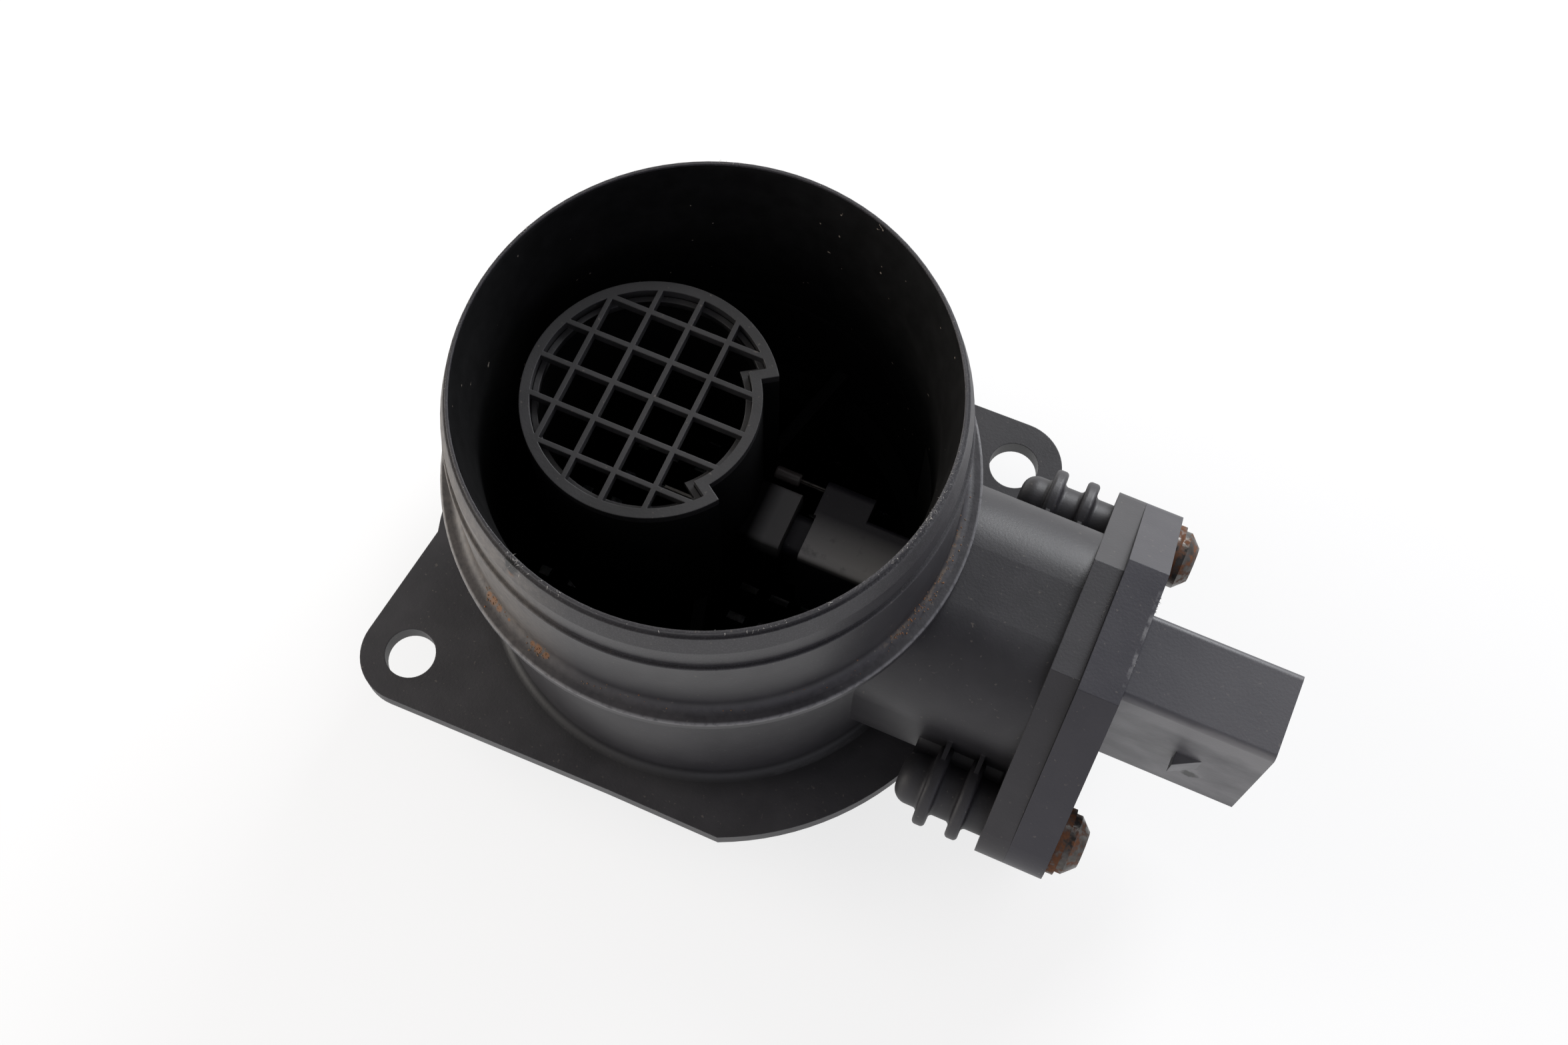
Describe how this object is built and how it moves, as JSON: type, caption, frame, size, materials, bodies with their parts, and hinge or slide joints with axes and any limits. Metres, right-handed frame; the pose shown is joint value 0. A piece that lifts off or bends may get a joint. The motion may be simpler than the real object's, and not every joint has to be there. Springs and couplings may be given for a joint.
{
  "type": "mass airflow sensor",
  "caption": "Plastic mass airflow sensor: moulded duct with a diagonal bolt flange, hose neck, inner measuring tube with a grid, and a plug-in sensor module with a flat plug socket.",
  "frame": {"origin": "on the duct axis at the lower end of the spigot, the face the part stands on", "axes": "+Z along the duct from the spigot to the hose neck, +X from the duct towards the plug socket, millimetre source written in metres"},
  "size_m": [0.1301, 0.0822, 0.0762],
  "materials": {
    "housing_plastic": "glass-filled black plastic, satin, lightly worn",
    "seal_rubber": "smooth black rubber",
    "spring_steel": "bare spring steel",
    "straightener_plastic": "matt black plastic",
    "tube_plastic": "matt black plastic",
    "grid_plastic": "dusty matt black plastic",
    "sensor_plastic": "glass-filled black plastic, satin",
    "base_aluminium": "plain sheet",
    "board_laminate": "green circuit board",
    "chip_plastic": "moulded black",
    "capacitor_ceramic": "tan ceramic",
    "cover_plastic": "black plastic",
    "terminal_tin": "tinned contact metal",
    "lead_metal": "plated lead frame",
    "film_ceramic": "thin ceramic plate",
    "bead_resin": "dark coated bead",
    "screw_steel": "dull plated steel",
    "washer_steel": "rusted steel"
  },
  "bodies": {
    "root": {"tube_housing": "housing_plastic", "spigot_o_ring": "seal_rubber", "snap_ring": "spring_steel", "flow_straightener": "straightener_plastic", "measuring_tube": "tube_plastic", "flow_grid": "grid_plastic", "sensor_body": "sensor_plastic", "body_seal": "seal_rubber", "base_plate": "base_aluminium", "circuit_board": "board_laminate", "measuring_chip": "chip_plastic", "heater_driver": "chip_plastic", "board_capacitors": "capacitor_ceramic", "cavity_cover": "cover_plastic", "terminals": "terminal_tin", "film_leads": "lead_metal", "hot_film": "film_ceramic", "reference_film": "film_ceramic", "air_temperature_bead": "bead_resin", "bead_leads": "lead_metal", "plate_screws": "screw_steel", "screw_washers": "washer_steel"}
  },
  "joints": []
}
